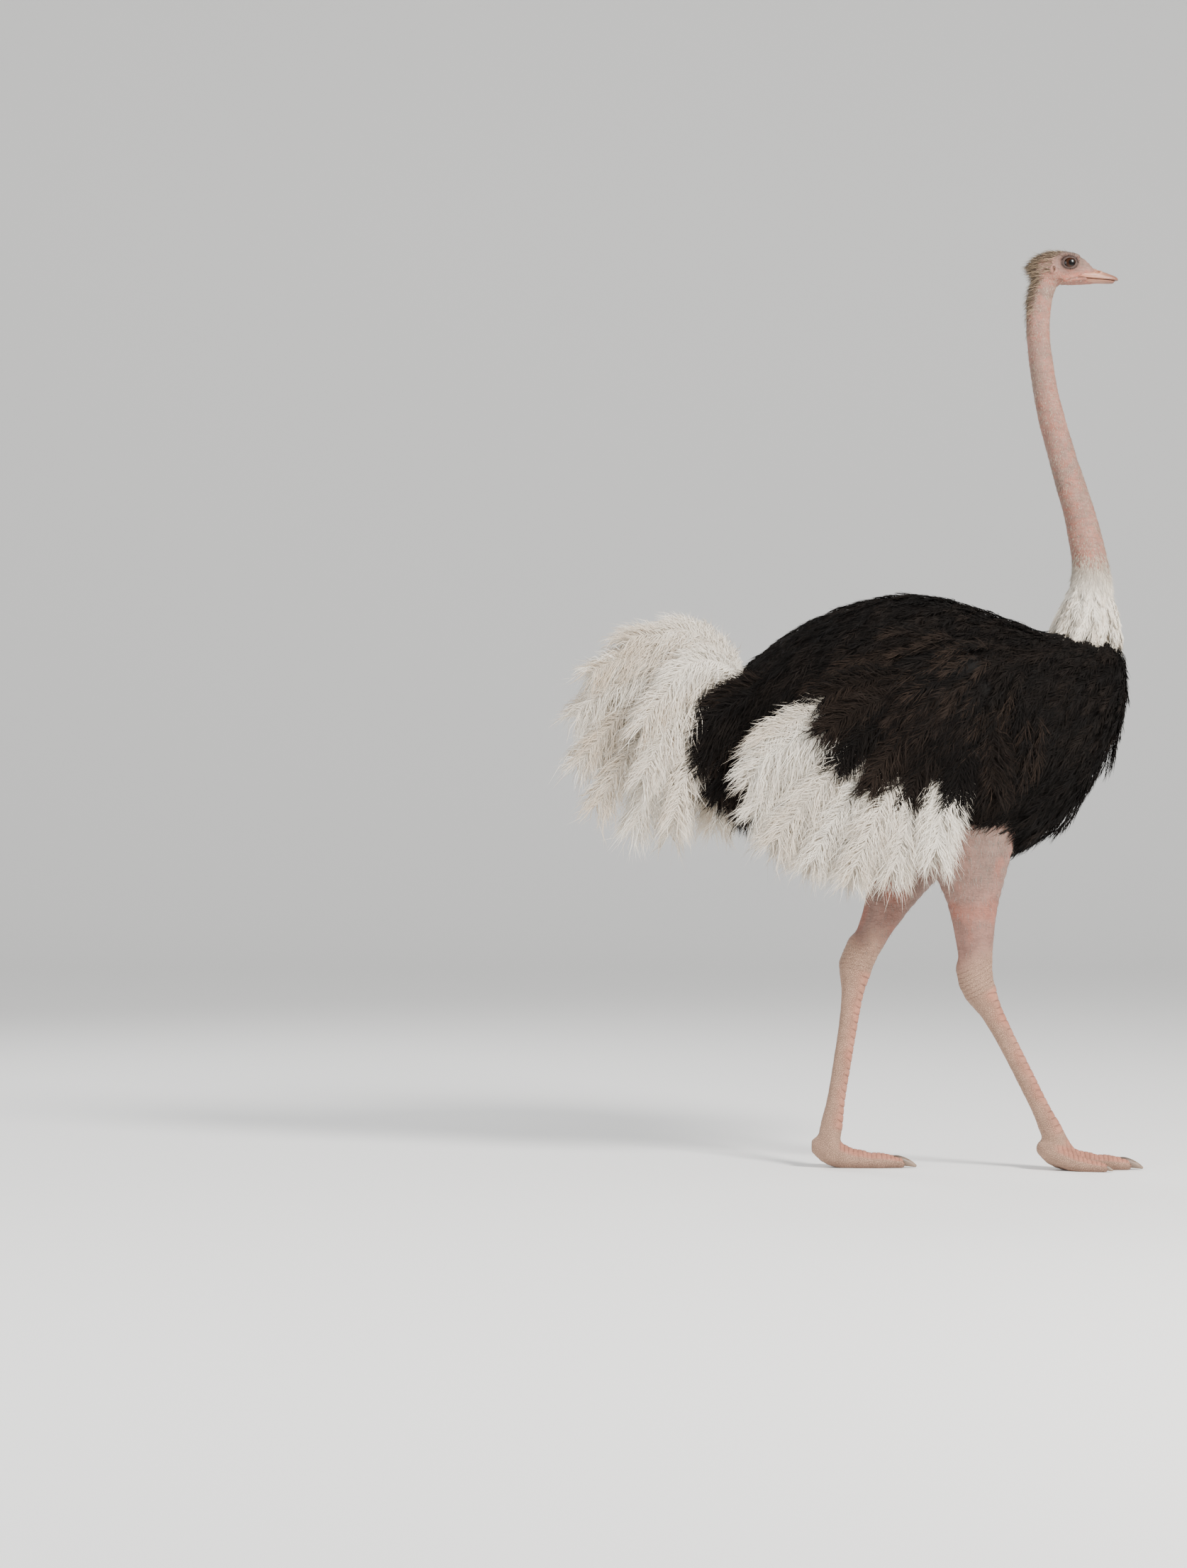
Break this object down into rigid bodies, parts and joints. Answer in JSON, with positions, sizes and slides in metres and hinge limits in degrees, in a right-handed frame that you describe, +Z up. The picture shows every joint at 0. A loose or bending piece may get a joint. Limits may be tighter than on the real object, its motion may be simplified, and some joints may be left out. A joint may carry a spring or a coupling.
{
  "type": "adult male ostrich",
  "caption": "Life-size walking adult ostrich, head raised, wings folded, one leg forward and one trailing.",
  "frame": {"origin": "middle of the bird's bounding box, on the floor that it stands on", "axes": "+X forward, the way the bird walks; +Y its left side; +Z up"},
  "size_m": [1.6116, 0.672, 2.4967],
  "materials": {
    "plumage_black": "soft, loose black feathers with a faint brown cast",
    "plumage_white": "soft off-white plumes, dusty towards the tips",
    "neck_skin": "greyish pink skin under sparse pale down",
    "leg_skin": "bare pinkish skin, scaled below",
    "bill": "satin horn, pinkish with a darker tip",
    "claw": "worn dark horn",
    "eye": "wet, dark brown"
  },
  "bodies": {
    "root": {"trunk": "plumage_black", "rump": "plumage_black", "wing_coverts_right": "plumage_black", "wing_coverts_left": "plumage_black", "wing_plumes_right": "plumage_white", "wing_plumes_left": "plumage_white", "tail_plumes_middle": "plumage_white", "tail_plumes_right": "plumage_white", "tail_plumes_left": "plumage_white", "neck_collar": "plumage_white", "neck_lower": "neck_skin", "neck_upper": "neck_skin", "head": "neck_skin", "eye_right": "eye", "eye_left": "eye", "bill_upper": "bill", "bill_lower": "bill", "thigh_right": "leg_skin", "thigh_left": "leg_skin", "shank_right": "leg_skin", "shank_left": "leg_skin", "toe_inner_right": "leg_skin", "toe_inner_left": "leg_skin", "toe_outer_right": "leg_skin", "toe_outer_left": "leg_skin", "claw_inner_right": "claw", "claw_inner_left": "claw", "claw_outer_right": "claw", "claw_outer_left": "claw"}
  },
  "joints": []
}
